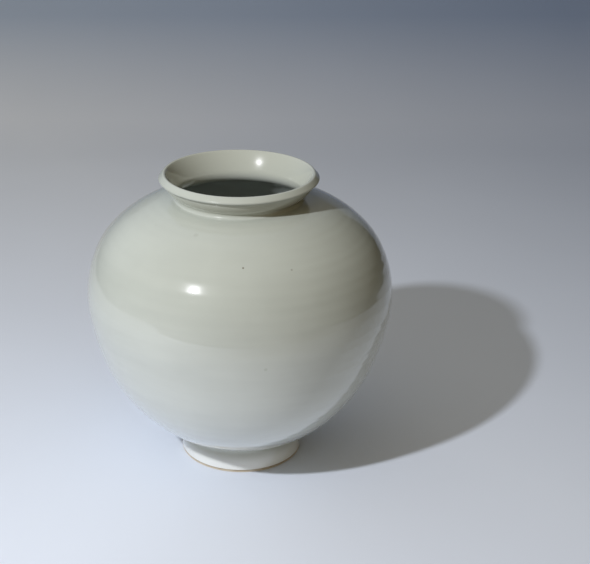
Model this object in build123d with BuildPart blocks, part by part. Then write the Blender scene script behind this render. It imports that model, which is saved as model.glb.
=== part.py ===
from build123d import *
from math import cos, radians, sin
import os

# A large white porcelain moon jar, as tall as it is wide. Two thrown bowls are luted rim to rim
# at the belly, a flared neck is luted on top and a foot ring below, and a thin glaze covers all
# but the ring that the jar rests on.
# Millimetres, +Z up. The origin is the centre of the ring that the foot rests on.
# Every profile is a half section: first number the radius, second the height. The sizes are
# those of the glazed surface, and the clay lies a glaze's thickness inside it.

# Driving dimensions
BELLY_R = 210.0  # widest radius of the jar
BELLY_Z = 243.0  # height of the widest ring, where the two bowls meet
WALL = 8.0  # wall of the upper bowl and of the belly, both glazes included
GLAZE = 0.5  # thickness of the glaze
SLIP = 1.0  # thickness of the slip in every luted joint

# The outer curve is a chain of tangent arcs that starts at the belly: radius, degrees turned.
SHOULDER_ARCS = ((143.0, 26.0), (105.0, 16.0), (157.0, 43.0))
UNDERBODY_ARCS = ((153.0, 9.6), (370.0, 9.4), (224.0, 43.5), (60.0, 21.5))
BASE_TURN = 6.0  # the last arc down, shallow and centred on the axis, over the foot's recess

# The inner curve keeps the wall at the belly and thickens it towards the floor.
INNER_TOP_ARCS = tuple((radius - WALL, turn) for radius, turn in SHOULDER_ARCS)
INNER_LOW_ARCS = ((153.0 - WALL, 9.6), (370.0 - WALL, 9.4), (200.0, 39.4), (130.0, 26.6))
FLOOR_TURN = 5.0  # the floor's own shallow arc

# Luted joints: a tongue on one piece sits in a vee groove of the other, with slip between.
KEY_DEPTH = 2.2  # depth and half width of the vee
BELLY_KEY_R = BELLY_R - WALL / 2
NECK_KEY = (83.2, 379.95)
FOOT_KEY = (77.0, 30.2)
BEAD_R = 2.2  # slip pressed out of the belly joint and left as a bead inside

# Neck and lip
THROAT_R = 79.0  # narrowest opening
THROAT_EDGE_ROUND = 3.2  # under edge of the bowl's opening
NECK_START = (86.65, 378.9)  # just under the shoulder's surface
NECK_ROOT = 377.0  # where the neck's section ends inside the shoulder
NECK_LEAN = 74.6  # degrees from level where the neck leaves the shoulder
NECK_COVE = (65.5, 24.6)  # outside of the neck: radius, degrees turned
LIP_UNDERCUT = (3.0, 55.0)
LIP_ROUND = (4.4, 235.0)
FUNNEL_LENGTH = 25.2  # straight inside slope below the lip
THROAT_ROUND = (17.2, 40.0)

# Foot ring
FOOT_R = 84.0  # outer radius at the floor
FOOT_INNER_R = 70.8
FOOT_LEAN = 92.0  # degrees from level, so the ring draws in a little as it rises
FOOT_WALL = 25.5  # length of the plain outer wall below the cove
FOOT_COVE = (12.0, 60.0)  # outer cove into the bowl: radius, degrees turned
RECESS_COVE_START = (66.4, 28.3)  # inside the bowl's wall, above the recess
RECESS_COVE_LEAN = -20.0
RECESS_COVE = (5.5, 68.0)
FOOT_TOP = 38.0  # where the ring's section ends inside the floor
FOOT_EDGE_OUT = 1.2
FOOT_EDGE_IN = 2.5
BARE_EDGE = 3.3  # the glaze is wiped back to this height


def heading(degrees):
    """Unit direction at an angle from level, turning from outward to up."""
    return Vector(cos(radians(degrees)), sin(radians(degrees)))


def shifted(point, degrees, inset):
    """A point of a section moved into the clay, which lies to the left of the heading."""
    return Vector(*point) + heading(degrees + 90) * inset


def tangent_arcs(start, direction, arcs, side, inset):
    """Convex arcs that run on from one another, turning left (side 1) or right (side -1)."""
    for radius, turn in arcs:
        arc = JernArc(start, direction, radius - inset, side * turn)
        start, direction = arc @ 1, arc % 1
    return start, direction


def belly_curve(radius, upper, lower, last_turn, inset):
    """A closed half section from arcs above and below the belly, with its lowest arc and both
    ends on the axis. A positive inset draws it in, and a negative one grows it."""
    with BuildLine() as outline:
        belly = (radius - inset, BELLY_Z)
        top, _ = tangent_arcs(belly, (0, 1), upper, 1, inset)
        low, direction = tangent_arcs(belly, (0, -1), lower, -1, inset)
        bottom = JernArc(low, direction, low.X / sin(radians(last_turn)), -last_turn)
        Polyline(top, (0, top.Y), (0, (bottom @ 1).Y))
    return outline.edges()


def vee(radius, height, towards):
    """Edges of a key's groove, with its point KEY_DEPTH below (-1) or above (1) the height."""
    open_side = height - 2 * towards * KEY_DEPTH
    with BuildLine() as groove:
        Polyline(
            (radius, height + towards * KEY_DEPTH),
            (radius - 3 * KEY_DEPTH, open_side),
            (radius + 3 * KEY_DEPTH, open_side),
            close=True,
        )
    return groove.edges()


def body(inset=GLAZE):
    """Half section inside the outer curve of the two bowls, taken as solid."""
    with BuildSketch() as section:
        outline = belly_curve(BELLY_R, SHOULDER_ARCS, UNDERBODY_ARCS, BASE_TURN, inset)
        make_face(outline)
    return section.sketch


def keyed_body(slip=0.0):
    """The bowls' clay, grown by the slip, with the grooves that key the neck and the foot."""
    with BuildSketch() as section:
        add(body(GLAZE - slip))
        make_face(vee(NECK_KEY[0], NECK_KEY[1] + slip, -1), mode=Mode.SUBTRACT)
        make_face(vee(FOOT_KEY[0], FOOT_KEY[1] - slip, 1), mode=Mode.SUBTRACT)
    return section.sketch


def hollow(inset=GLAZE):
    """Half section of the space inside, out to the glaze (0) or to the clay (GLAZE)."""
    with BuildSketch() as section:
        inner_r = BELLY_R - WALL
        make_face(belly_curve(inner_r, INNER_TOP_ARCS, INNER_LOW_ARCS, FLOOR_TURN, -inset))
    return section.sketch


def bead(inset=GLAZE):
    """Round bead of slip on the inside of the belly joint, with or without its glaze."""
    with BuildSketch() as section:
        with Locations((BELLY_R - WALL + GLAZE, BELLY_Z + SLIP / 2)):
            Circle(BEAD_R + GLAZE - inset)
        add(hollow(inset), mode=Mode.INTERSECT)
    return section.sketch


def below_belly_joint(lift=0.0):
    """Everything under the vee-shaped line of the belly joint, raised by lift."""
    rim = BELLY_Z + lift
    with BuildSketch() as section:
        with BuildLine() as outline:
            Polyline(
                (0, 0),
                (BELLY_R + WALL, 0),
                (BELLY_R + WALL, rim),
                (BELLY_KEY_R + KEY_DEPTH, rim),
                (BELLY_KEY_R, rim - KEY_DEPTH),
                (BELLY_KEY_R - KEY_DEPTH, rim),
                (0, rim),
                close=True,
            )
        make_face(outline.edges())
    return section.sketch


def neck(inset=GLAZE):
    """Flared neck with a rolled lip, run down past its seat so that the seat can cut it."""
    with BuildSketch() as section:
        with BuildLine() as outline:
            start = shifted(NECK_START, NECK_LEAN, inset)
            cove = JernArc(start, heading(NECK_LEAN), NECK_COVE[0] + inset, -NECK_COVE[1])
            undercut = JernArc(cove @ 1, cove % 1, LIP_UNDERCUT[0] + inset, -LIP_UNDERCUT[1])
            lip = JernArc(undercut @ 1, undercut % 1, LIP_ROUND[0] - inset, LIP_ROUND[1])
            funnel = Line(lip @ 1, (lip @ 1) + (lip % 1) * FUNNEL_LENGTH)
            throat = JernArc(funnel @ 1, funnel % 1, THROAT_ROUND[0] - inset, THROAT_ROUND[1])
            throat_end = throat @ 1
            Polyline(throat_end, (throat_end.X, NECK_ROOT), (start.X, NECK_ROOT), start)
        make_face(outline.edges())
    return section.sketch


def foot(inset=GLAZE):
    """Foot ring, run up into the bowl so that its seat can cut it."""
    with BuildSketch() as section:
        with BuildLine() as outline:
            floor_out = Vector(FOOT_R - inset / sin(radians(FOOT_LEAN)), 0)
            wall_top = Vector(FOOT_R, 0) + heading(FOOT_LEAN) * FOOT_WALL
            wall = Line(floor_out, shifted(wall_top, FOOT_LEAN, inset))
            cove = JernArc(wall @ 1, wall % 1, FOOT_COVE[0] + inset, -FOOT_COVE[1])
            recess_start = shifted(RECESS_COVE_START, RECESS_COVE_LEAN, inset)
            recess_way = heading(RECESS_COVE_LEAN)
            recess = JernArc(recess_start, recess_way, RECESS_COVE[0] + inset, -RECESS_COVE[1])
            Polyline(
                cove @ 1,
                ((cove @ 1).X, FOOT_TOP),
                (recess_start.X, FOOT_TOP),
                recess_start,
            )
            Polyline(recess @ 1, (FOOT_INNER_R + inset, 0), floor_out)
        make_face(outline.edges())
    return section.sketch


def open_throat(section, inset):
    """Cut the bowl's opening in the sketch that is being drawn, and ease its lower edge."""
    height = NECK_KEY[1]
    with Locations((0, height)):
        Rectangle(2 * (THROAT_R + inset), 4 * WALL, mode=Mode.SUBTRACT)
    edge = section.vertices().sort_by_distance((THROAT_R + inset, height - WALL))[0]
    fillet(edge, THROAT_EDGE_ROUND - inset)


def shell(inset):
    """The whole jar's wall in half section, at its glazed surface (0) or its clay (GLAZE)."""
    with BuildSketch() as section:
        add(body(inset))
        add(hollow(inset), mode=Mode.SUBTRACT)
        open_throat(section, inset)
        add(neck(inset))
        add(foot(inset))
        add(bead(inset))
    return section.sketch


# Lower bowl, with the floor, the groove in its rim and the groove for the foot
with BuildPart() as lower_bowl:
    with BuildSketch(Plane.XZ):
        add(keyed_body())
        add(hollow(), mode=Mode.SUBTRACT)
        add(below_belly_joint(), mode=Mode.INTERSECT)
    revolve(axis=Axis.Z)

# Upper bowl, inverted, with the tongue on its rim and the opening cut for the neck
with BuildPart() as upper_bowl:
    with BuildSketch(Plane.XZ) as upper_half:
        add(keyed_body())
        add(hollow(), mode=Mode.SUBTRACT)
        add(below_belly_joint(SLIP), mode=Mode.SUBTRACT)
        open_throat(upper_half, GLAZE)
    revolve(axis=Axis.Z)

# Slip in the belly joint, wiped flush outside and left as a round bead inside
with BuildPart() as belly_slip:
    with BuildSketch(Plane.XZ):
        add(keyed_body())
        add(hollow(), mode=Mode.SUBTRACT)
        add(below_belly_joint(SLIP), mode=Mode.INTERSECT)
        add(below_belly_joint(), mode=Mode.SUBTRACT)
        add(bead())
    revolve(axis=Axis.Z)

# Neck, seated on the slip that lies on the shoulder
with BuildPart() as neck_collar:
    with BuildSketch(Plane.XZ):
        add(neck())
        add(keyed_body(SLIP), mode=Mode.SUBTRACT)
    revolve(axis=Axis.Z)

with BuildPart() as neck_slip:
    with BuildSketch(Plane.XZ):
        add(neck())
        add(keyed_body(SLIP), mode=Mode.INTERSECT)
        add(keyed_body(), mode=Mode.SUBTRACT)
    revolve(axis=Axis.Z)

# Foot ring with an eased, unglazed resting edge, seated under the bowl
with BuildPart() as foot_ring:
    with BuildSketch(Plane.XZ) as foot_half:
        add(foot())
        add(keyed_body(SLIP), mode=Mode.SUBTRACT)
        fillet(foot_half.vertices().group_by(Axis.Y)[0].sort_by(Axis.X)[-1], FOOT_EDGE_OUT)
        fillet(foot_half.vertices().group_by(Axis.Y)[0].sort_by(Axis.X)[0], FOOT_EDGE_IN)
    revolve(axis=Axis.Z)

with BuildPart() as foot_slip:
    with BuildSketch(Plane.XZ):
        add(foot())
        add(keyed_body(SLIP), mode=Mode.INTERSECT)
        add(keyed_body(), mode=Mode.SUBTRACT)
    revolve(axis=Axis.Z)

# Glaze: one coat outside, over the lip and inside, and one in the recess under the jar
with BuildSketch() as glaze:
    add(shell(0))
    add(shell(GLAZE), mode=Mode.SUBTRACT)
    with Locations((FOOT_R, 0)):
        Rectangle(FOOT_R, 2 * BARE_EDGE, mode=Mode.SUBTRACT)
base_coat, jar_coat = glaze.faces().sort_by(SortBy.AREA)

with BuildPart() as glaze_coat:
    with BuildSketch(Plane.XZ):
        add(jar_coat)
    revolve(axis=Axis.Z)

with BuildPart() as base_glaze:
    with BuildSketch(Plane.XZ):
        add(base_coat)
    revolve(axis=Axis.Z)

lower_bowl.part.label = "lower_bowl"
upper_bowl.part.label = "upper_bowl"
belly_slip.part.label = "belly_slip"
neck_collar.part.label = "neck_collar"
neck_slip.part.label = "neck_slip"
foot_ring.part.label = "foot_ring"
foot_slip.part.label = "foot_slip"
glaze_coat.part.label = "glaze_coat"
base_glaze.part.label = "base_glaze"

os.makedirs("parts", exist_ok=True)
export_step(lower_bowl.part, "parts/lower_bowl.step")
export_step(upper_bowl.part, "parts/upper_bowl.step")
export_step(belly_slip.part, "parts/belly_slip.step")
export_step(neck_collar.part, "parts/neck_collar.step")
export_step(neck_slip.part, "parts/neck_slip.step")
export_step(foot_ring.part, "parts/foot_ring.step")
export_step(foot_slip.part, "parts/foot_slip.step")
export_step(glaze_coat.part, "parts/glaze_coat.step")
export_step(base_glaze.part, "parts/base_glaze.step")

for piece in (
    lower_bowl,
    upper_bowl,
    belly_slip,
    neck_collar,
    neck_slip,
    foot_ring,
    foot_slip,
    glaze_coat,
    base_glaze,
):
    box = piece.part.bounding_box()
    span = (round(box.min.Z, 2), round(box.max.Z, 2))
    print(piece.part.label, "volume", round(piece.part.volume), "mm3, height", span)
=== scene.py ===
from math import cos, pi, radians, sin, tan

import bpy
import numpy as np
from bpy.props import FloatProperty, FloatVectorProperty, PointerProperty
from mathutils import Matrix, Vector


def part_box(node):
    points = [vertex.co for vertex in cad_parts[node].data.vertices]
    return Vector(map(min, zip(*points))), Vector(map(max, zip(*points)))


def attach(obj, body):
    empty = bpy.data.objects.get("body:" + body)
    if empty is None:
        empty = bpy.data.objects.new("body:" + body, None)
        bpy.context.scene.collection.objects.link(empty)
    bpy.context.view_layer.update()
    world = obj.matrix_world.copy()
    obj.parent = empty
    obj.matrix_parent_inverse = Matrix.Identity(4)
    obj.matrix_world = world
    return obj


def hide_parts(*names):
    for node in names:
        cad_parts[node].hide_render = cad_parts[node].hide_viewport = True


bl_info = {
    "name": "White porcelain moon jar",
    "version": (1, 0, 0),
    "blender": (4, 5, 0),
    "location": "3D View > Sidebar > Moon jar",
    "description": "A large white porcelain jar of two thrown bowls, with its joints and glaze",
    "category": "Object",
}

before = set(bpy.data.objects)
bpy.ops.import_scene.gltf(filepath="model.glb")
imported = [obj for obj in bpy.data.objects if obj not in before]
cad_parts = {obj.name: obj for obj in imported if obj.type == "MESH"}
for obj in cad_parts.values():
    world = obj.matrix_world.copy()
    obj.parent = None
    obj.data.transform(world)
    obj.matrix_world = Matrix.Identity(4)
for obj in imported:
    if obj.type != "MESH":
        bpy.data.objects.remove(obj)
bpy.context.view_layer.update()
GLAZE_LOW, GLAZE_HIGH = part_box("glaze_coat")
BOWL_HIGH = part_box("lower_bowl")[1]

# The jar's section is drawn in millimetres for a belly of this radius, and scaled to the jar.
# A point of it is (radius, height), and the foot rests on height 0.
BELLY_R = 210.0
BELLY_Z = 243.0
WALL = 8.0

# Tangent arcs from the belly up and from the belly down: radius, degrees turned
SHOULDER_ARCS = ((143.0, 26.0), (105.0, 16.0), (157.0, 28.0), (118.0, 16.0))
UNDERBODY_ARCS = ((153.0, 9.6), (370.0, 9.4), (224.0, 43.5), (60.0, 21.5))
BASE_TURN = 6.0
INNER_TOP_ARCS = tuple((radius - WALL, turn) for radius, turn in SHOULDER_ARCS)
INNER_LOW_ARCS = ((153.0 - WALL, 9.6), (370.0 - WALL, 9.4), (200.0, 39.4), (130.0, 26.6))
FLOOR_TURN = 5.0

# Keys of the luted joints, and the bead of slip left inside the belly joint: radius, height
# and depth of each vee
KEY_DEPTH = 2.2
BELLY_KEY_R = BELLY_R - WALL / 2
NECK_KEY = (88.0, 378.4, 1.4)
FOOT_KEY = (77.0, 30.2, KEY_DEPTH)
BEAD_R = 2.2

# Neck: start just under the shoulder, degrees from level, then each run as (radius, degrees)
# or (length, 0): the round into the shoulder, the cup-shaped outside, the narrow undercut,
# the lip with its lower corner, slope and crest, the inside wall, and the round of the throat
NECK_START = (90.03, 378.28)
NECK_LEAN = 168.0
NECK_RUNS = (
    (4.0, -134.0),
    (37.5, 36.0),
    (1.5, -80.0),
    (0.8, 0.0),
    (2.0, 143.0),
    (6.2, 0.0),
    (3.1, 103.0),
    (130.0, 12.0),
    (13.7, 104.0),
)

# Foot ring, begun below the floor so that the floor can cut it
FOOT_R = 85.6
FOOT_LEAN = 94.4
FOOT_SUNK = 5.0
FOOT_RUNS = ((25.5 + FOOT_SUNK, 0.0), (12.0, -60.0))
FOOT_TOP = 38.0
FOOT_INNER_R = 70.8
RECESS_START = (66.4, 28.3)
RECESS_LEAN = -20.0
RECESS_RUN = ((5.5, -68.0),)
FOOT_EDGE_IN = 2.5
FOOT_EDGE_OUT = 1.2
# How far the recess wall is carried on under the floor, as a share of its height
BELOW_FLOOR = 0.2

# The foot's clay shows this much higher than the end of the glaze's node, in metres
BARE_MORE = 0.0008
# Where glaze pools, and where painted shade darkens it on the neck under the lip and on the foot
# under the body: radius and height of the middle, and its reach. Over the belly it begins at
# the first height, where the neck leaves the shoulder, and is full from the second.
POOLS_AND_SHADE = (((95.0, 391.0), 14.0), ((86.0, 30.0), 12.0))
NECK_POOL_AND_SHADE = (380.5, 382.5)
# Middle of the wall, from under the base to the lip's crest: height, radius. Inside and outside
# blend across this width of it.
WALL_BLEND = 1.5
WALL_MIDDLE = (
    (0.0, 0.0),
    (60.0, 100.0),
    (243.0, 206.0),
    (300.0, 196.0),
    (340.0, 164.0),
    (366.0, 120.0),
    (374.0, 96.0),
    (384.0, 86.3),
    (404.0, 99.0),
    (412.0, 102.5),
)

# The spiral rings: their mean, slow and quick swell, the angle that they begin at, and the
# pitch and depth of the finer ones on the right as shares of theirs
RING_SWELL = (0.55, 0.35, 0.1)
RING_START = 2.7
FINGER_PITCH = 1 / 1.4
FINGER_DEPTH = 0.5
# Height and radius under which the jar is less and less moved by rings and sag
STILL_HEIGHT = 40.0
STILL_RADIUS = 60.0

# How finely the surfaces are laid out: millimetres along the skin and the clay, degrees of an
# arc, points of a round, and points about the axis
SKIN_STEP = 3.0
CLAY_STEP = 6.0
ARC_STEP = 10.0
ROUND_POINTS = 7
TURNS = 150
SHARP_ANGLE = radians(40)
# Rows of a profile that lie closer than this are one row
SAME_POINT = 0.001
# Two segments whose cross product is under this are parallel
PARALLEL = 1e-12


def linear(code):
    """Linear light of an sRGB hex colour."""
    channel = np.array([int(code[i : i + 2], 16) for i in (1, 3, 5)]) / 255
    light = np.where(channel <= 0.04045, channel / 12.92, ((channel + 0.055) / 1.055) ** 2.4)
    return tuple(float(value) for value in light)


# Curves of the section, as arrays of (radius, height)


def runs_from(start, lean, runs, inset=0.0, clay=1, step=SKIN_STEP):
    """Points along straight runs and arcs that follow one another.

    The heading h starts at lean degrees from level. A run with no turn adds its length times
    (cos h, sin h). An arc of radius q that bends left (b = 1) or right (b = -1) goes from
    heading h to g and adds b q (sin g - sin h, cos h - cos g). The whole chain is moved by
    inset towards the clay, which is on the left (1) or the right (-1) of the heading: its
    start along the normal, and each radius by as much."""
    heading = radians(lean)
    point = np.array(start, float)
    point = point + inset * clay * np.array([-sin(heading), cos(heading)])
    points = [point[None]]
    for size, turn in runs:
        bend = np.sign(turn)
        length = size * (abs(radians(turn)) if turn else 1)
        count = int(max(np.ceil(length / step), np.ceil(abs(turn) / ARC_STEP)))
        share = np.linspace(0, 1, count + 1)[1:, None]
        if turn:
            radius = size - inset * clay * bend
            ahead = heading + radians(turn) * share
            swing = np.hstack([np.sin(ahead) - sin(heading), cos(heading) - np.cos(ahead)])
            run = point + bend * radius * swing
            heading = float(ahead[-1, 0])
        else:
            run = point + share * size * np.array([cos(heading), sin(heading)])
        points.append(run)
        point = run[-1]
    return np.vstack(points)


def crossings(path, other):
    """Every crossing of two broken lines, in the order of path: the segment of path, and the
    point. Segments p + s u and q + t v meet where s = (q - p) x v / (u x v) and
    t = (q - p) x u / (u x v) are both from 0 to 1."""
    along = np.diff(path, axis=0)[:, None]
    across = np.diff(other, axis=0)[None]
    gap = other[None, :-1] - path[:-1, None]
    lean = along[..., 0] * across[..., 1] - along[..., 1] * across[..., 0]
    lean = np.where(np.abs(lean) < PARALLEL, np.nan, lean)
    s = (gap[..., 0] * across[..., 1] - gap[..., 1] * across[..., 0]) / lean
    t = (gap[..., 0] * along[..., 1] - gap[..., 1] * along[..., 0]) / lean
    rows, columns = np.nonzero((s >= 0) & (s < 1) & (t >= 0) & (t < 1))
    share = s[rows, columns]
    order = np.lexsort((share, rows))
    if not len(order):
        raise ValueError("two curves of the section don't cross")
    points = path[rows] + share[:, None] * along[rows, 0]
    return rows[order], points[order]


def until(path, other, which=0):
    """The path up to a crossing with another: the first (0) or the last (-1)."""
    rows, points = crossings(path, other)
    return np.vstack([path[: rows[which] + 1], points[which]])


def after(path, other, which=0):
    """The path from a crossing with another on."""
    rows, points = crossings(path, other)
    return np.vstack([points[which], path[rows[which] + 1 :]])


def between(path, other):
    """The path from its first crossing with another to its last."""
    rows, points = crossings(path, other)
    return np.vstack([points[0], path[rows[0] + 1 : rows[-1] + 1], points[-1]])


def handed_over(path, other):
    """The path up to its crossing with another, and that other path from there."""
    return np.vstack([until(path, other), after(other, path)[1:]])


def spliced(path, patch):
    """The path with its stretch between two crossings taken from the patch."""
    return np.vstack([until(path, patch), between(patch, path)[1:-1], after(path, patch, -1)])


def eased(path, other, radius):
    """Two paths joined through a round: the curve (1-t)^2 A + 2t(1-t) C + t^2 B, where C is
    the corner and A and B lie radius / tan(half the corner's angle) away on either path."""
    corner = until(path, other)[-1]
    back = until(path, other)[-2] - corner
    ahead = after(other, path)[1] - corner
    back, ahead = back / np.linalg.norm(back), ahead / np.linalg.norm(ahead)
    reach = radius / tan(np.arccos(np.clip(back @ ahead, -1, 1)) / 2)
    before, rest = until(path, other), after(other, path)
    before = before[np.linalg.norm(before - corner, axis=1) > reach]
    rest = rest[np.linalg.norm(rest - corner, axis=1) > reach]
    t = np.linspace(0, 1, ROUND_POINTS)[:, None]
    round_off = corner + reach * ((1 - t) ** 2 * back + t**2 * ahead)
    return np.vstack([before, round_off, rest])


def level(height):
    """A level line across the whole section."""
    return np.array([(0.0, height), (2 * BELLY_R, height)])


def vee(key, lift, towards):
    """The groove of a key: two slopes of 45 degrees that meet a depth below (towards -1) or
    above (1) the key's height."""
    radius, height, depth = key
    height += lift
    open_side = height - 2 * towards * depth
    tip = height + towards * depth
    reach = 3 * depth
    return np.array([(radius - reach, open_side), (radius, tip), (radius + reach, open_side)])


def bowls_curve(radius, upper, lower, last_turn, inset, clay, step):
    """The body's curve from the axis below, out to the belly, and in again over the shoulder:
    arcs up and arcs down from the belly, and a last arc centred on the axis."""
    belly = (radius, BELLY_Z)
    up = runs_from(belly, 90, upper, inset, clay, step)
    falling = [(size, -turn) for size, turn in lower]
    down = runs_from(belly, -90, falling, inset, -clay, step)
    lean = -90 - sum(turn for _, turn in lower)
    last_radius = down[-1, 0] / sin(radians(last_turn))
    last = runs_from(down[-1], lean, [(last_radius, -last_turn)], step=step)
    last[-1, 0] = 0
    return np.vstack([last[:0:-1], down[::-1], up[1:]])


class Section:
    """The jar's half section: the closed profile of each of its pieces, in millimetres."""

    def __init__(self, sizes):
        self.scale = sizes.belly_diameter / (2 * BELLY_R)
        self.glaze = sizes.glaze_thickness / self.scale
        self.slip = sizes.slip_thickness / self.scale
        self.bare_edge = sizes.bare_edge / self.scale

    def outside(self, inset, step=CLAY_STEP):
        """The outer curve, from the middle of the base out and up over the shoulder."""
        return bowls_curve(BELLY_R, SHOULDER_ARCS, UNDERBODY_ARCS, BASE_TURN, inset, 1, step)

    def inside(self, inset, step=CLAY_STEP):
        """The inner curve, from the shoulder down to the middle of the floor."""
        radius = BELLY_R - WALL
        arcs = INNER_TOP_ARCS, INNER_LOW_ARCS, FLOOR_TURN
        return bowls_curve(radius, *arcs, inset, -1, step)[::-1]

    def neck(self, inset, step=CLAY_STEP):
        """Up the outside of the neck, round the lip, and down inside round the throat."""
        return runs_from(NECK_START, NECK_LEAN, NECK_RUNS, inset, 1, step)

    def foot_wall(self, inset, step=CLAY_STEP):
        """Up the outside of the foot ring and out along its cove into the bowl."""
        sunk = (FOOT_R - FOOT_SUNK * cos(radians(FOOT_LEAN)), -FOOT_SUNK * sin(radians(FOOT_LEAN)))
        arcs = runs_from(sunk, FOOT_LEAN, FOOT_RUNS, inset, 1, step)
        return np.vstack([arcs, (arcs[-1, 0], FOOT_TOP)])

    def recess_wall(self, inset, step=CLAY_STEP):
        """Down the inside of the foot ring, from inside the bowl to below the floor."""
        arcs = runs_from(RECESS_START, RECESS_LEAN, RECESS_RUN, inset, 1, step)
        foot = np.array([FOOT_INNER_R + inset, 0.0])
        below = foot + BELOW_FLOOR * (foot - arcs[-1])
        return np.vstack([(arcs[0, 0], FOOT_TOP), arcs, below])

    def foot(self):
        """Down the recess, across the resting ring and up the outside of the foot."""
        resting = eased(self.recess_wall(self.glaze), level(0), FOOT_EDGE_IN)
        return eased(resting, self.foot_wall(self.glaze), FOOT_EDGE_OUT)

    def keyed(self, slip=0.0):
        """The bowls' clay, grown by the slip, with the grooves for the foot and the neck."""
        path = self.outside(self.glaze - slip)
        path = spliced(path, vee(FOOT_KEY, -slip, 1))
        return spliced(path, vee(NECK_KEY, slip, -1)[::-1])

    def rim(self, lift=0.0):
        """The line of the belly joint, from the axis outwards, with its groove."""
        height = BELLY_Z + lift
        inner, outer = BELLY_KEY_R - KEY_DEPTH, BELLY_KEY_R + KEY_DEPTH
        groove = [(inner, height), (BELLY_KEY_R, height - KEY_DEPTH), (outer, height)]
        return np.vstack([(0, height), groove, (BELLY_R + WALL, height)])

    def bead(self, grow=0.0):
        """The bead of slip inside the belly joint, from above it round to below it: an arc that
        starts at 80 degrees from level and turns through 200."""
        start, sweep = 80, 200
        radius = BEAD_R + grow
        centre = np.array([BELLY_R - WALL + self.glaze, BELLY_Z + self.slip / 2])
        top = centre + radius * np.array([cos(radians(start)), sin(radians(start))])
        return runs_from(top, start + 90, [(radius, sweep)])

    def skin(self, inset, outer_step, inner_step):
        """The whole surface from the edge of the glaze on the foot, up outside, over the lip
        and down inside to the middle of the floor, moved into the clay by inset."""
        path = after(self.foot_wall(inset, outer_step), level(self.bare_edge))
        path = handed_over(path, self.outside(inset, outer_step))
        path = handed_over(path, self.neck(inset, outer_step))
        inner = spliced(self.inside(inset, inner_step), self.bead(self.glaze - inset))
        return handed_over(path, inner)

    def base(self, inset, step):
        """Under the jar: from the middle of the base out and down to the edge of the glaze."""
        path = handed_over(self.outside(inset, step), self.recess_wall(inset, step))
        return until(path, level(self.bare_edge))

    def lower_bowl(self):
        """From the middle of the base out and up, in along the rim, and down inside."""
        path = handed_over(self.keyed(), self.rim()[::-1])
        return handed_over(path, self.inside(self.glaze)), False

    def upper_bowl(self):
        """From the inside of the belly out along the rim, up the shoulder, round the throat
        and back down inside."""
        inner = until(self.inside(self.glaze), self.rim(self.slip))
        path = after(self.rim(self.slip), self.inside(self.glaze))
        path = handed_over(path, self.keyed())
        throat = self.neck(self.glaze)
        throat = throat[np.argmax(throat[:, 1]):]
        path = handed_over(path, throat)
        return handed_over(path, inner), True

    def belly_slip(self):
        """Out along the lower rim, in along the upper rim, and down round the bead."""
        outer, inner = self.outside(self.glaze), self.inside(self.glaze)
        below = after(until(self.rim(), outer), inner)
        above = after(until(self.rim(self.slip)[::-1], inner), outer)
        return np.vstack([below, above, between(self.bead(), inner)]), True

    def ring_on_bowl(self, ring):
        """A ring's profile above the slip that it sits on."""
        seat = self.keyed(self.slip)
        return np.vstack([between(ring, seat), between(seat, ring)[-2:0:-1]]), True

    def slip_under(self, ring):
        """The slip between a ring and the bowl: bounded by the ring's sides, its seat and the
        bowl's clay."""
        seat, clay = self.keyed(self.slip), self.keyed()
        first = after(until(ring, seat), clay)
        last = until(after(ring, seat, -1), clay)
        sides = [first, between(seat, ring)[1:-1], last, between(clay, ring)[-2:0:-1]]
        return np.vstack(sides), True

    def glaze_coat(self):
        """The coat's outer surface from the floor up and out, and back along the clay."""
        outer = self.skin(0, SKIN_STEP, CLAY_STEP)[::-1]
        return np.vstack([outer, self.skin(self.glaze, CLAY_STEP, CLAY_STEP)]), False

    def base_glaze(self):
        """Out along the glaze's surface under the jar, and back along the clay."""
        return np.vstack([self.base(0, SKIN_STEP), self.base(self.glaze, SKIN_STEP)[::-1]]), False


# Surfaces


def turned(profile, closed):
    """Points and faces of a profile turned about the jar's axis: (r, z) goes to
    (r cos a, r sin a, z) for TURNS even angles a. A closed profile's last row joins its first.
    An open one has both ends on the axis, where each row becomes one point and a fan.
    Rows that repeat the row before are left out. The profile is put counterclockwise first,
    so that the faces point outwards."""
    step = np.linalg.norm(profile - np.roll(profile, 1, axis=0), axis=1)
    profile = profile[step > SAME_POINT]
    r, z = profile.T
    if np.sum(r * np.roll(z, -1) - np.roll(r, -1) * z) < 0:
        profile = profile[::-1]
        r, z = profile.T
    angle = np.linspace(0, 2 * pi, TURNS, endpoint=False)
    x, y = r[:, None] * np.cos(angle), r[:, None] * np.sin(angle)
    grid = np.stack(np.broadcast_arrays(x, y, z[:, None]), axis=-1)
    place = np.arange(len(profile) * TURNS).reshape(len(profile), TURNS)
    if closed:
        rows = np.vstack([place, place[:1]])
        points = grid.reshape(-1, 3)
        fans = []
    else:
        rows = place[1:-1] - TURNS + 1
        points = np.vstack([grid[0, :1], grid[1:-1].reshape(-1, 3), grid[-1, :1]])
        last = len(points) - 1
        first_fan = [np.zeros(TURNS, int), np.roll(rows[0], -1), rows[0]]
        last_fan = [np.full(TURNS, last), rows[-1], np.roll(rows[-1], -1)]
        fans = np.vstack([np.stack(first_fan, axis=1), np.stack(last_fan, axis=1)]).tolist()
    here, beside = rows[:-1], np.roll(rows[:-1], -1, axis=1)
    above, beyond = rows[1:], np.roll(rows[1:], -1, axis=1)
    quads = np.stack([here, beside, beyond, above], axis=-1).reshape(-1, 4).tolist()
    return points, quads + fans


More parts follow.
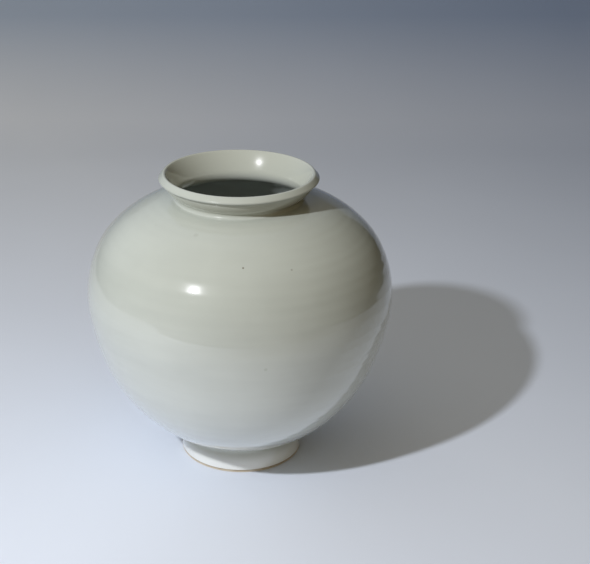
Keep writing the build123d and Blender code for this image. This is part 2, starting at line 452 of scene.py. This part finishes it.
def thrown(points, sizes, scale):
    """Millimetre points moved as the wheel and the kiln left the jar.

    Every point moves along the ray from the belly's centre, so the layers stay nested. With a
    the angle round the jar, e the ray's angle from level and t = 2 pi e R / pitch, the ray grows
    by depth cos(t + a + start) times a swell (a spiral ring), by a finer and uneven spiral,
    cos(1.4 t + 2a + sin 3a), on the right, where the fingers pressed harder, and by
    sag cos(2a + 0.6) (out of round). All this fades out towards the floor, so that the foot
    stays flat. The axis then leans: x moves by the foot's shift times (1 - z / belly)^2 under
    the belly, and by the lip's shift times ((z - belly) / (top - belly))^2 above it."""
    top = GLAZE_HIGH.z / scale
    x, y, z = points.T
    radius = np.hypot(x, y)
    angle = np.arctan2(y, x)
    tilt = np.arctan2(z - BELLY_Z, radius)
    ray = np.stack([x, y, z - BELLY_Z], axis=1)
    ray /= np.linalg.norm(ray, axis=1)[:, None]
    mean, slow, quick = RING_SWELL
    swell = mean + slow * np.cos(angle - 0.2 + 3 * tilt) + quick * np.cos(3 * angle - 5 * tilt)
    turns = 2 * pi * tilt * BELLY_R / (sizes.ring_pitch / scale)
    finger = np.cos(turns / FINGER_PITCH + 2 * angle + np.sin(3 * angle))
    finger *= FINGER_DEPTH * np.clip(np.cos(angle - 0.1), 0, 1)
    grow = sizes.ring_depth / scale * (swell * np.cos(turns + angle + RING_START) + finger)
    grow += sizes.sag / scale * np.cos(2 * angle + 0.6)
    smooth = np.clip(z / STILL_HEIGHT, 0, 1) * np.clip(radius / STILL_RADIUS, 0, 1)
    moved = points + ray * (grow * smooth**2 * (3 - 2 * smooth))[:, None]
    below = np.clip(1 - z / BELLY_Z, 0, 1) ** 2
    above = np.clip((z - BELLY_Z) / (top - BELLY_Z), 0, 1) ** 2
    moved[:, 0] += (sizes.foot_shift * below + sizes.lip_shift * above) / scale
    return moved


def pooled_and_shaded(points):
    """How thickly the glaze pools, and how much painted shade darkens it, from 0 to 1:
    exp(-(d / reach)^2), where d is the distance
        of a point of the section from the foot of the neck or from the crease over the foot."""
    section = np.stack([np.hypot(points[:, 0], points[:, 1]), points[:, 2]], axis=1)
    depth = np.zeros(len(points))
    for crease, reach in POOLS_AND_SHADE:
        away = np.linalg.norm(section - crease, axis=1)
        depth = np.maximum(depth, np.exp(-((away / reach) ** 2)))
    on_neck = np.interp(points[:, 2], NECK_POOL_AND_SHADE, (0, 1))
    return depth * np.where(points[:, 2] > BELLY_Z, on_neck, 1)


def inside(points):
    """1 on the inside of the jar and 0 on the outside: how far a point's radius falls short of
    the middle of the wall at its height, over the width of the blend."""
    height, radius = np.array(WALL_MIDDLE).T
    short = np.interp(points[:, 2], height, radius) - np.hypot(*points[:, :2].T)
    return np.clip(short / WALL_BLEND, 0, 1)


def add_piece(context, name, shape, nodes, material):
    """Make one piece of the jar from its profile, hang it under the root, and hide the nodes it
    replaces.
    """
    sizes = context.scene.moon_jar_sizes
    scale = sizes.belly_diameter / (2 * BELLY_R)
    profile, closed = shape
    points, faces = turned(profile, closed)
    mesh = bpy.data.meshes.new(name)
    mesh.from_pydata(thrown(points, sizes, scale) * scale, [], faces)
    for field in (pooled_and_shaded, inside):
        attribute = mesh.attributes.new(field.__name__, "FLOAT", "POINT")
        attribute.data.foreach_set("value", field(points).astype(np.float32))
    mesh.shade_smooth()
    mesh.set_sharp_from_angle(angle=SHARP_ANGLE)
    if mesh.validate():
        raise RuntimeError(f"{name} has faces that aren't valid")
    piece = bpy.data.objects.new(name, mesh)
    context.scene.collection.objects.link(piece)
    mesh.materials.append(material)
    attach(piece, "root")
    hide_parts(*nodes)
    return piece


# Materials


def add_node(tree, kind, inputs=None, **settings):
    """Add a node with its settings. Each input, by name or number, is linked to a socket or
    set to a value."""
    node = tree.nodes.new(kind)
    for key, value in settings.items():
        setattr(node, key, value)
    for key, value in (inputs or {}).items():
        if isinstance(value, bpy.types.NodeSocket):
            tree.links.new(value, node.inputs[key])
        else:
            node.inputs[key].default_value = value
    return node


def new_material(name):
    """A new material and its node tree, which is empty."""
    material = bpy.data.materials.new(name)
    material.use_nodes = True
    material.node_tree.nodes.clear()
    return material, material.node_tree


def mix_colour(tree, share, first, second, blend="MIX"):
    """Colour between two colours, which are sockets or linear triples. The node's inputs 0, 6
    and 7 are its share and its two colours, and its output 2 is the mixed colour."""
    mix = add_node(tree, "ShaderNodeMix", data_type="RGBA", blend_type=blend)
    pairs = ((0, share), (6, first), (7, second))
    for number, value in pairs:
        if isinstance(value, bpy.types.NodeSocket):
            tree.links.new(value, mix.inputs[number])
        elif number:
            mix.inputs[number].default_value = (*value, 1)
        else:
            mix.inputs[number].default_value = value
    return mix.outputs[2]


def spread(tree, value, low, high, least=0.0, most=1.0):
    """A number stretched so that low becomes least and high becomes most."""
    inputs = {0: value, 1: low, 2: high, 3: least, 4: most}
    return add_node(tree, "ShaderNodeMapRange", inputs, clamp=True).outputs[0]


WHITE = (1.0, 1.0, 1.0)
BLACK = (0.0, 0.0, 0.0)
# Most of a noise's values lie between these
NOISE_SPAN = (0.35, 0.65)

# The glaze. Noise scales are cells to the metre: clouds 110 mm wide, bands of the wheel 17 mm
# apart and drawn out round the jar, and ripples of 6 mm. Each tints the colour by a share, or
# lifts the surface by a height in metres.
CLOUDS, CLOUD_TINT = 9.0, 0.03
BANDS, BAND_STRETCH, BAND_TINT, BAND_LIFT = 60.0, (0.12, 0.12, 1.0), 0.015, 0.0002
RIPPLES, RIPPLE_LIFT = 160.0, 0.00003
# Heights between which the low glaze turns into the upper, the foot's ends, and the glaze deep
# inside turns into that of the mouth. Whiter low down, on the foot and deep inside is painted
# light.
BODY_HEIGHTS = (0.08, 0.30)
FOOT_HEIGHTS = (0.04, 0.02)
MOUTH_HEIGHTS = (0.36, 0.385)
IRON_TINT = linear("#6B6353")
GREEN_TINT = linear("#8F9A86")
# Marks in the glaze where the kiln left them: place, reach, how strongly they show, colour
MARKS = (
    ((0.0043, -0.1655, 0.3433), 0.0016, 0.9, IRON_TINT),
    ((0.0649, -0.1587, 0.3378), 0.0016, 0.45, IRON_TINT),
    ((0.0326, -0.206, 0.2225), 0.003, 0.25, GREEN_TINT),
    ((-0.0555, -0.1151, 0.3676), 0.004, 0.12, IRON_TINT),
    ((-0.1763, -0.0139, 0.1227), 0.002, 0.25, IRON_TINT),
)
# Sparse pinholes all over: one cell of 36 mm in seven has one, 1 mm in reach. Cells to the
# metre, the random number over which a cell has one, reach in cells, and how strongly it shows.
PIT_SCALE = 28.0
PIT_RARE = 0.86
PIT_REACH = 0.03
PIT_SHARE = 0.3

# The clay and the slip: grain of 1.1 mm and 0.6 mm, drawn coarser than the real one so that it
# shows, and a flush in patches of 25 mm that fades out below the glaze's edge
CLAY_GRAIN, CLAY_LIFT = 900.0, 0.0001
FLUSH, FLUSH_HEIGHT = 40.0, 0.0035
SLIP_GRAIN, SLIP_LIFT = 1600.0, 0.00005

# The paper's uneven dye: patches of 330 mm, darker by this share
TOOTH, TOOTH_TINT = 3.0, 0.02


def glaze_material(colours):
    """Porcelain glaze, fired clear over white clay: hard, glassy and faintly green. The eye
    sees sharp reflections in a skin that ripples a little, a soft white under it, more green
    where the glaze ran thick, faint bands of the wheel, and a few pinholes. Its colour holds
    painted light, whiter low down, on the foot and deep inside, and painted shade, darker
    where it runs thick on the neck under the lip and on the foot under the body."""
    material, tree = new_material("Clear porcelain glaze, fired")
    place = add_node(tree, "ShaderNodeTexCoord").outputs["Object"]
    inputs = {"Vector": place, "Scale": CLOUDS, "Detail": 3.0}
    clouds = add_node(tree, "ShaderNodeTexNoise", inputs).outputs[0]
    flat = add_node(tree, "ShaderNodeMapping", {"Vector": place, "Scale": BAND_STRETCH})
    inputs = {"Vector": flat.outputs[0], "Scale": BANDS, "Detail": 2.0}
    bands = add_node(tree, "ShaderNodeTexNoise", inputs).outputs[0]
    depth = add_node(tree, "ShaderNodeAttribute", attribute_name="pooled_and_shaded").outputs["Fac"]
    height = add_node(tree, "ShaderNodeSeparateXYZ", {0: place}).outputs[2]
    upper = spread(tree, height, *BODY_HEIGHTS)
    # Painted light: the glaze is whiter low down and on the foot, for the light that the floor
    # throws up
    colour = mix_colour(tree, upper, colours.painted_light_low_glaze, colours.glaze)
    colour = mix_colour(tree, spread(tree, height, *FOOT_HEIGHTS), colour, colours.painted_light_foot_glaze)
    mottle = spread(tree, clouds, *NOISE_SPAN, 1 - CLOUD_TINT, 1 + CLOUD_TINT)
    banding = spread(tree, bands, *NOISE_SPAN, 1 - BAND_TINT, 1 + BAND_TINT)
    uneven = add_node(tree, "ShaderNodeMath", {0: mottle, 1: banding}, operation="MULTIPLY")
    inputs = {0: colour, 3: uneven.outputs[0]}
    scaled = add_node(tree, "ShaderNodeVectorMath", inputs, operation="SCALE")
    # Thick glaze where it pools, and painted shade on the neck under the lip and the foot under
    # the body
    colour = mix_colour(tree, depth, scaled.outputs[0], colours.thick_glaze_and_shade)
    for mark, reach, share, tint in MARKS:
        away = add_node(tree, "ShaderNodeVectorMath", {0: place, 1: mark}, operation="DISTANCE")
        near = spread(tree, away.outputs["Value"], reach, 0.5 * reach, 0.0, share)
        colour = mix_colour(tree, near, colour, tint)
    pits = add_node(tree, "ShaderNodeTexVoronoi", {"Vector": place, "Scale": PIT_SCALE})
    pick = add_node(tree, "ShaderNodeSeparateColor", {0: pits.outputs["Color"]}).outputs[0]
    rare = spread(tree, pick, PIT_RARE, 1.0, 0.0, PIT_SHARE)
    near = spread(tree, pits.outputs["Distance"], PIT_REACH, 0.5 * PIT_REACH)
    spot = add_node(tree, "ShaderNodeMath", {0: near, 1: rare}, operation="MULTIPLY").outputs[0]
    colour = mix_colour(tree, spot, colour, IRON_TINT)
    # Painted light: the glaze deep inside is lighter, for light in the jar's dark hollow
    within = add_node(tree, "ShaderNodeAttribute", attribute_name="inside").outputs["Fac"]
    mouth = spread(tree, height, *MOUTH_HEIGHTS)
    inner = mix_colour(tree, mouth, colours.painted_light_inner_glaze, colours.mouth_glaze)
    colour = mix_colour(tree, within, colour, inner)
    inputs = {"Vector": place, "Scale": RIPPLES, "Detail": 2.0}
    ripple = add_node(tree, "ShaderNodeTexNoise", inputs).outputs[0]
    bump = add_node(tree, "ShaderNodeBump", {"Height": ripple, "Distance": RIPPLE_LIFT})
    inputs = {"Height": bands, "Distance": BAND_LIFT, "Normal": bump.outputs[0]}
    bump = add_node(tree, "ShaderNodeBump", inputs)
    inputs = {
        "Base Color": colour,
        "Roughness": 0.2,
        "Specular IOR Level": 0.15,
        "Coat Weight": 1.0,
        "Coat Roughness": 0.015,
        "Coat IOR": 1.6,
        "Normal": bump.outputs[0],
        "Coat Normal": bump.outputs[0],
    }
    shader = add_node(tree, "ShaderNodeBsdfPrincipled", inputs)
    add_node(tree, "ShaderNodeOutputMaterial", {"Surface": shader.outputs[0]})
    return material


def clay_material(colours):
    """Porcelain clay, thrown and fired bare. The eye sees a dry, matt, warm white with fine
    grain, and a tan flush beside the glaze."""
    material, tree = new_material("Porcelain clay, thrown and fired")
    place = add_node(tree, "ShaderNodeTexCoord").outputs["Object"]
    inputs = {"Vector": place, "Scale": CLAY_GRAIN, "Detail": 4.0}
    grain = add_node(tree, "ShaderNodeTexNoise", inputs).outputs[0]
    inputs = {"Vector": place, "Scale": FLUSH, "Detail": 3.0}
    flush = add_node(tree, "ShaderNodeTexNoise", inputs).outputs[0]
    height = add_node(tree, "ShaderNodeSeparateXYZ", {0: place}).outputs[2]
    near_glaze = spread(tree, height, 0.0, FLUSH_HEIGHT)
    share = add_node(tree, "ShaderNodeMath", {0: near_glaze, 1: flush}, operation="MULTIPLY")
    flushed = spread(tree, share.outputs[0], 0.1, 0.6)
    colour = mix_colour(tree, flushed, colours.clay, colours.flushed_clay)
    bump = add_node(tree, "ShaderNodeBump", {"Height": grain, "Distance": CLAY_LIFT})
    inputs = {"Base Color": colour, "Roughness": 0.75, "Normal": bump.outputs[0]}
    shader = add_node(tree, "ShaderNodeBsdfPrincipled", inputs)
    add_node(tree, "ShaderNodeOutputMaterial", {"Surface": shader.outputs[0]})
    return material


def slip_material(colours):
    """Porcelain slip, pressed in the joints and fired. The eye sees a matt surface, smoother
    and whiter than the clay."""
    material, tree = new_material("Porcelain slip, fired")
    place = add_node(tree, "ShaderNodeTexCoord").outputs["Object"]
    inputs = {"Vector": place, "Scale": SLIP_GRAIN, "Detail": 3.0}
    grain = add_node(tree, "ShaderNodeTexNoise", inputs).outputs[0]
    colour = mix_colour(tree, spread(tree, grain, 0.3, 0.7), colours.slip, colours.clay)
    bump = add_node(tree, "ShaderNodeBump", {"Height": grain, "Distance": SLIP_LIFT})
    inputs = {"Base Color": colour, "Roughness": 0.65, "Normal": bump.outputs[0]}
    shader = add_node(tree, "ShaderNodeBsdfPrincipled", inputs)
    add_node(tree, "ShaderNodeOutputMaterial", {"Surface": shader.outputs[0]})
    return material


def paper_material(colours):
    """Studio paper, matt, with a faint uneven dye and with painted shade: a pale sheet that goes
    darker to the right and up the sweep, where the light falls off, with its front right corner
    darkest in what the glaze mirrors."""
    material, tree = new_material("Studio paper with painted shade, matt")
    place = add_node(tree, "ShaderNodeTexCoord").outputs["Object"]
    inputs = {"Vector": place, "Scale": TOOTH, "Detail": 2.0}
    tooth = add_node(tree, "ShaderNodeTexNoise", inputs).outputs[0]
    share = spread(tree, tooth, 0.3, 0.7, 1 - TOOTH_TINT, 1.0)
    # Painted shade: the paper darkens to the right and up the sweep, where the light falls off
    inputs = {0: place, 1: PAPER_WAY}
    away = add_node(tree, "ShaderNodeVectorMath", inputs, operation="DOT_PRODUCT")
    painted_falloff = spread(tree, away.outputs["Value"], *PAPER_REACH)
    colour = mix_colour(tree, painted_falloff, colours.floor, colours.far_floor_painted_shade)
    right, back, height = add_node(tree, "ShaderNodeSeparateXYZ", {0: place}).outputs
    painted_sweep_shade = mix_colour(tree, spread(tree, height, *SWEEP_REACH), WHITE, SWEEP_PAINTED_SHADE)
    colour = mix_colour(tree, 1.0, colour, painted_sweep_shade, "MULTIPLY")
    # Painted shade on the front right corner, which the glaze mirrors as a dark reflection
    corner = {0: spread(tree, back, *CORNER_REACH_Y), 1: spread(tree, right, *CORNER_REACH_X)}
    corner = add_node(tree, "ShaderNodeMath", corner, operation="MULTIPLY").outputs[0]
    painted_corner_shade = mix_colour(tree, corner, WHITE, CORNER_PAINTED_SHADE)
    colour = mix_colour(tree, 1.0, colour, painted_corner_shade, "MULTIPLY")
    colour = mix_colour(tree, share, BLACK, colour)
    inputs = {"Base Color": colour, "Roughness": 0.8, "Specular IOR Level": 0.2}
    shader = add_node(tree, "ShaderNodeBsdfPrincipled", inputs)
    add_node(tree, "ShaderNodeOutputMaterial", {"Surface": shader.outputs[0]})
    return material


# Settings that a user would change


class MoonJarSizes(bpy.types.PropertyGroup):
    """Sizes of the jar, and how unevenly it was thrown and fired."""

    belly_diameter: FloatProperty(
        name="Belly diameter",
        description="Widest diameter of the jar, glaze included; everything scales with it",
        default=GLAZE_HIGH.x - GLAZE_LOW.x,
        min=0.3,
        max=0.6,
        subtype="DISTANCE",
        unit="LENGTH",
    )
    glaze_thickness: FloatProperty(
        name="Glaze thickness",
        description="Thickness of the glaze",
        default=GLAZE_HIGH.x - BOWL_HIGH.x,
        min=0.0002,
        max=0.001,
        precision=5,
        subtype="DISTANCE",
        unit="LENGTH",
    )
    slip_thickness: FloatProperty(
        name="Slip thickness",
        description="Thickness of the slip in the joints",
        default=0.001,
        min=0.0005,
        max=0.002,
        precision=5,
        subtype="DISTANCE",
        unit="LENGTH",
    )
    bare_edge: FloatProperty(
        name="Bare edge",
        description="Height of the unglazed band round the bottom of the foot",
        default=GLAZE_LOW.z + BARE_MORE,
        min=0.001,
        max=0.01,
        precision=5,
        subtype="DISTANCE",
        unit="LENGTH",
    )
    ring_pitch: FloatProperty(
        name="Ring pitch",
        description="Distance between the spiral rings left by throwing",
        default=0.0155,
        min=0.005,
        max=0.04,
        precision=4,
        subtype="DISTANCE",
        unit="LENGTH",
    )
    ring_depth: FloatProperty(
        name="Ring depth",
        description="Height of the throwing rings above the smooth curve",
        default=0.0001,
        min=0.0,
        max=0.001,
        precision=6,
        subtype="DISTANCE",
        unit="LENGTH",
    )
    sag: FloatProperty(
        name="Out of round",
        description="How far the belly is out of round after firing",
        default=0.0004,
        min=0.0,
        max=0.004,
        precision=5,
        subtype="DISTANCE",
        unit="LENGTH",
    )
    foot_shift: FloatProperty(
        name="Foot shift",
        description="How far the foot stands right of the belly's axis",
        default=0.0022,
        min=-0.005,
        max=0.005,
        precision=5,
        subtype="DISTANCE",
        unit="LENGTH",
    )
    lip_shift: FloatProperty(
        name="Lip shift",
        description="How far the lip stands right of the belly's axis",
        default=-0.001,
        min=-0.005,
        max=0.005,
        precision=5,
        subtype="DISTANCE",
        unit="LENGTH",
    )


def colour_property(name, description, code):
    """A colour that the user can change, given as sRGB hex."""
    return FloatVectorProperty(
        name=name, description=description, default=linear(code), subtype="COLOR", min=0, max=1
    )


class MoonJarColours(bpy.types.PropertyGroup):
    """Colours of the glaze, the clay and the stage."""

    glaze: colour_property("Glaze", "Colour of the glaze over the upper body", "#B8BEB7")
    # Painted light: the low and the foot glaze are whiter, for the light that the floor throws up
    painted_light_low_glaze: colour_property("Low glaze", "Whiter colour of the glaze low down", "#D8DDDA")
    painted_light_foot_glaze: colour_property("Foot glaze", "Colour of the glaze on the foot", "#ECEFEE")
    # Partly pooled glaze, partly painted shade on the neck under the lip and on the foot under the
    # body
    thick_glaze_and_shade: colour_property("Thick glaze", "Colour where the glaze has pooled", "#B1B3A7")
    # Painted light: the glaze deep inside is lighter, for light in the jar's dark hollow
    painted_light_inner_glaze: colour_property("Inner glaze", "Colour of the glaze deep inside", "#CAD1CE")
    mouth_glaze: colour_property("Mouth glaze", "Colour inside the neck", "#B9BEB5")
    clay: colour_property("Clay", "Colour of the bare fired clay", "#D9CFBE")
    flushed_clay: colour_property("Flushed clay", "Tan flush beside the glaze", "#94856A")
    slip: colour_property("Slip", "Colour of the fired slip", "#E3DED2")
    floor: colour_property("Floor", "Colour of the studio paper near the jar", "#E1E9F7")
    # Painted shade: the far paper is darker where the light falls off
    far_floor_painted_shade: colour_property("Far floor", "Colour of the paper far to the right", "#AEBBD6")
    lamp: colour_property("Lamp", "Colour of the main lamp", "#FAFBFF")


# Operators: one for each group of like pieces, and one for the stage


class MOONJAR_OT_bowls(bpy.types.Operator):
    """Throw the lower and the upper bowl, with the groove and the tongue on their rims"""

    bl_idname = "moon_jar.bowls"
    bl_label = "Two bowls"

    def execute(self, context):
        section = Section(context.scene.moon_jar_sizes)
        clay = clay_material(context.scene.moon_jar_colours)
        for name, node, shape in (
            ("thrown_lower_bowl", "lower_bowl", section.lower_bowl()),
            ("thrown_upper_bowl", "upper_bowl", section.upper_bowl()),
        ):
            add_piece(context, name, shape, [node], clay)
        return {"FINISHED"}


class MOONJAR_OT_rings(bpy.types.Operator):
    """Throw the flared neck with its lip, and turn the foot ring"""

    bl_idname = "moon_jar.rings"
    bl_label = "Neck and foot"

    def execute(self, context):
        section = Section(context.scene.moon_jar_sizes)
        clay = clay_material(context.scene.moon_jar_colours)
        neck = section.ring_on_bowl(section.neck(section.glaze))
        add_piece(context, "thrown_neck", neck, ["neck_collar"], clay)
        foot = section.ring_on_bowl(section.foot())
        add_piece(context, "turned_foot_ring", foot, ["foot_ring"], clay)
        return {"FINISHED"}


class MOONJAR_OT_slip(bpy.types.Operator):
    """Lay the slip in the three luted joints"""

    bl_idname = "moon_jar.slip"
    bl_label = "Luting slip"

    def execute(self, context):
        section = Section(context.scene.moon_jar_sizes)
        slip = slip_material(context.scene.moon_jar_colours)
        neck = section.slip_under(section.neck(section.glaze))
        foot = section.slip_under(section.foot())
        for name, node, shape in (
            ("slip_at_belly", "belly_slip", section.belly_slip()),
            ("slip_under_neck", "neck_slip", neck),
            ("slip_over_foot", "foot_slip", foot),
        ):
            add_piece(context, name, shape, [node], slip)
        return {"FINISHED"}


class MOONJAR_OT_glaze(bpy.types.Operator):
    """Coat the jar with glaze, inside and out, and the recess under its base"""

    bl_idname = "moon_jar.glaze"
    bl_label = "Glaze"

    def execute(self, context):
        section = Section(context.scene.moon_jar_sizes)
        glaze = glaze_material(context.scene.moon_jar_colours)
        for name, node, shape in (
            ("glaze_over_jar", "glaze_coat", section.glaze_coat()),
            ("glaze_under_base", "base_glaze", section.base_glaze()),
        ):
            add_piece(context, name, shape, [node], glaze)
        return {"FINISHED"}


class MOONJAR_OT_stage(bpy.types.Operator):
    """Lay the pale floor and its sweep, and place the lamp, the room's light and the camera"""

    bl_idname = "moon_jar.stage"
    bl_label = "Stage, lamp and camera"

    def execute(self, context):
        scene = context.scene
        colours = scene.moon_jar_colours
        add_floor(scene, colours)
        add_lamp(scene, colours)
        add_room(scene)
        add_camera(scene)
        scene.view_settings.view_transform = "Standard"
        return {"FINISHED"}


# Stage

# The paper's left edge runs outwards from the sweep to the front, as a cut sheet's may. Its grid
# has rows over the floor and up the sweep, and columns across.
FLOOR_LEFT_BACK = -1.3
FLOOR_LEFT_FRONT = -2.6
FLOOR_RIGHT = 1.35
FLOOR_FRONT = -0.9
SWEEP_Y = 1.4
SWEEP_RADIUS = 1.2
SWEEP_TURN = 80.0
FLOOR_ROWS = 9
SWEEP_ROWS = 33
FLOOR_COLUMNS = 9
# Painted shade on the paper, where the light falls off: its way and reach over the floor in
# metres, and up the sweep
PAPER_WAY = (0.35, 0.2, 0.0)
PAPER_REACH = (0.12, 0.74)
SWEEP_REACH = (0.02, 0.2)
SWEEP_PAINTED_SHADE = linear("#C8D3E2")
# Painted shade on the paper's front right corner, which is out of the picture: the glaze mirrors
# it as a dark reflection.
CORNER_REACH_X = (-0.6, 0.3)
CORNER_REACH_Y = (-0.45, -0.75)
CORNER_PAINTED_SHADE = linear("#B3ADA6")
# The lamp: where it aims, the way from there to it, how far and how wide in metres, and watts
LAMP_AIM = (0.0, 0.0, 0.2)
LAMP_WAY = (-0.478, -0.589, 0.652)
LAMP_DISTANCE = 2.0
LAMP_WIDTH = 0.085
LAMP_POWER = 29.9
# Light of the unlit room: the way that it comes from, its strength in linear red, green and
# blue, the cosine at which it fades to nothing, and the share of it that the glaze mirrors
ROOM_LIGHT = (
    ((-0.8, 0.0, 0.6), (0.29, 0.28, 0.25), 0.2, 0.05),
    ((-0.4, 0.7, 0.6), (0.38, 0.42, 0.47), 0.6, 1.0),
    ((0.1, -0.8, 0.6), (0.27, 0.205, 0.11), 0.2, 0.1),
    ((0.6, -0.4, 0.7), (0.07, 0.065, 0.05), 0.1, 0.0),
)
# The room as the camera sees it past the paper
ROOM_SEEN = linear("#9599A0")
# The camera: its place, degrees down from level, lens in millimetres, and shift
CAMERA_PLACE = (0.0, -1.6538, 0.9607)
CAMERA_PITCH = 23.15
CAMERA_LENS = 79.32
CAMERA_SHIFT = 0.0938


def add_floor(scene, colours):
    """A level floor that bends up into a backdrop: (x, y, 0), then along an arc of radius q,
    (x, y0 + q sin t, q - q cos t) for t from 0 to the sweep's turn. Each row of points runs
    from the slanted left edge to the right one."""
    turn = np.radians(np.linspace(0, SWEEP_TURN, SWEEP_ROWS))
    flat = np.linspace(FLOOR_FRONT, SWEEP_Y, FLOOR_ROWS)
    y = np.concatenate([flat, SWEEP_Y + SWEEP_RADIUS * np.sin(turn[1:])])
    z = np.concatenate([np.zeros_like(flat), SWEEP_RADIUS * (1 - np.cos(turn[1:]))])
    left = np.interp(y, (FLOOR_FRONT, SWEEP_Y), (FLOOR_LEFT_FRONT, FLOOR_LEFT_BACK))[:, None]
    x = left + (FLOOR_RIGHT - left) * np.linspace(0, 1, FLOOR_COLUMNS)
    grid = np.stack(np.broadcast_arrays(x, y[:, None], z[:, None]), axis=-1)
    place = np.arange(grid[..., 0].size).reshape(grid.shape[:2])
    quads = np.stack([place[:-1, :-1], place[:-1, 1:], place[1:, 1:], place[1:, :-1]], axis=-1)
    mesh = bpy.data.meshes.new("studio_paper")
    mesh.from_pydata(grid.reshape(-1, 3), [], quads.reshape(-1, 4).tolist())
    mesh.shade_smooth()
    mesh.materials.append(paper_material(colours))
    floor = bpy.data.objects.new("studio_paper", mesh)
    scene.collection.objects.link(floor)


def add_lamp(scene, colours):
    """One small round lamp, left of the camera and above it, aimed at the jar."""
    lamp = bpy.data.lights.new("main_lamp", "AREA")
    lamp.shape = "DISK"
    lamp.size = LAMP_WIDTH
    lamp.energy = LAMP_POWER
    lamp.color = colours.lamp
    holder = bpy.data.objects.new("main_lamp", lamp)
    way = np.array(LAMP_WAY) / np.linalg.norm(LAMP_WAY)
    holder.location = np.array(LAMP_AIM) + LAMP_DISTANCE * way
    x, y, z = way
    holder.rotation_euler = (np.arccos(z), 0, np.arctan2(x, -y))
    scene.collection.objects.link(holder)


def add_room(scene):
    """The unlit room: dim, with a little light from some sides, each brightest straight that
    way and fading to nothing across it. The glaze mirrors only a share of each, as if it came
    from a few small windows."""
    world = bpy.data.worlds.new("room")
    world.use_nodes = True
    tree = world.node_tree
    tree.nodes.clear()
    look = add_node(tree, "ShaderNodeTexCoord").outputs["Generated"]
    glossy = add_node(tree, "ShaderNodeLightPath").outputs["Is Glossy Ray"]
    colour = None
    for way, light, edge, mirrored in ROOM_LIGHT:
        facing = add_node(tree, "ShaderNodeVectorMath", {0: look, 1: way}, operation="DOT_PRODUCT")
        near = spread(tree, facing.outputs["Value"], edge, 1.0)
        kept = spread(tree, glossy, 0.0, 1.0, 1.0, mirrored)
        share = add_node(tree, "ShaderNodeMath", {0: near, 1: kept}, operation="MULTIPLY")
        part = mix_colour(tree, share.outputs[0], BLACK, light)
        colour = part if colour is None else mix_colour(tree, 1.0, colour, part, "ADD")
    seen = add_node(tree, "ShaderNodeLightPath").outputs["Is Camera Ray"]
    colour = mix_colour(tree, seen, colour, ROOM_SEEN)
    light = add_node(tree, "ShaderNodeBackground", {"Color": colour, "Strength": 1.0})
    add_node(tree, "ShaderNodeOutputWorld", {"Surface": light.outputs[0]})
    scene.world = world


def add_camera(scene):
    """A camera that looks down at the jar, shifted so that the jar stands left of the middle."""
    lens = bpy.data.cameras.new("camera")
    lens.sensor_fit = "HORIZONTAL"
    lens.lens = CAMERA_LENS
    lens.shift_x = CAMERA_SHIFT
    camera = bpy.data.objects.new("camera", lens)
    camera.location = CAMERA_PLACE
    camera.rotation_euler = (radians(90 - CAMERA_PITCH), 0, 0)
    scene.collection.objects.link(camera)
    scene.camera = camera


class MOONJAR_PT_panel(bpy.types.Panel):
    """Settings and steps of the moon jar"""

    bl_idname = "MOONJAR_PT_panel"
    bl_label = "Moon jar"
    bl_space_type = "VIEW_3D"
    bl_region_type = "UI"
    bl_category = "Moon jar"

    def draw(self, context):
        layout = self.layout
        for settings in (context.scene.moon_jar_sizes, context.scene.moon_jar_colours):
            box = layout.box()
            for name in settings.__annotations__:
                box.prop(settings, name)
        for step in STEPS:
            layout.operator(step.bl_idname)


STEPS = (MOONJAR_OT_bowls, MOONJAR_OT_rings, MOONJAR_OT_slip, MOONJAR_OT_glaze, MOONJAR_OT_stage)
CLASSES = (MoonJarSizes, MoonJarColours, *STEPS, MOONJAR_PT_panel)


def register():
    for item in CLASSES:
        bpy.utils.register_class(item)
    bpy.types.Scene.moon_jar_sizes = PointerProperty(type=MoonJarSizes)
    bpy.types.Scene.moon_jar_colours = PointerProperty(type=MoonJarColours)


def unregister():
    del bpy.types.Scene.moon_jar_colours
    del bpy.types.Scene.moon_jar_sizes
    for item in reversed(CLASSES):
        bpy.utils.unregister_class(item)


def main():
    """Register the add-on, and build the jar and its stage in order."""
    register()
    bpy.ops.moon_jar.bowls()
    bpy.ops.moon_jar.rings()
    bpy.ops.moon_jar.slip()
    bpy.ops.moon_jar.glaze()
    bpy.ops.moon_jar.stage()


if __name__ == "__main__":
    main()
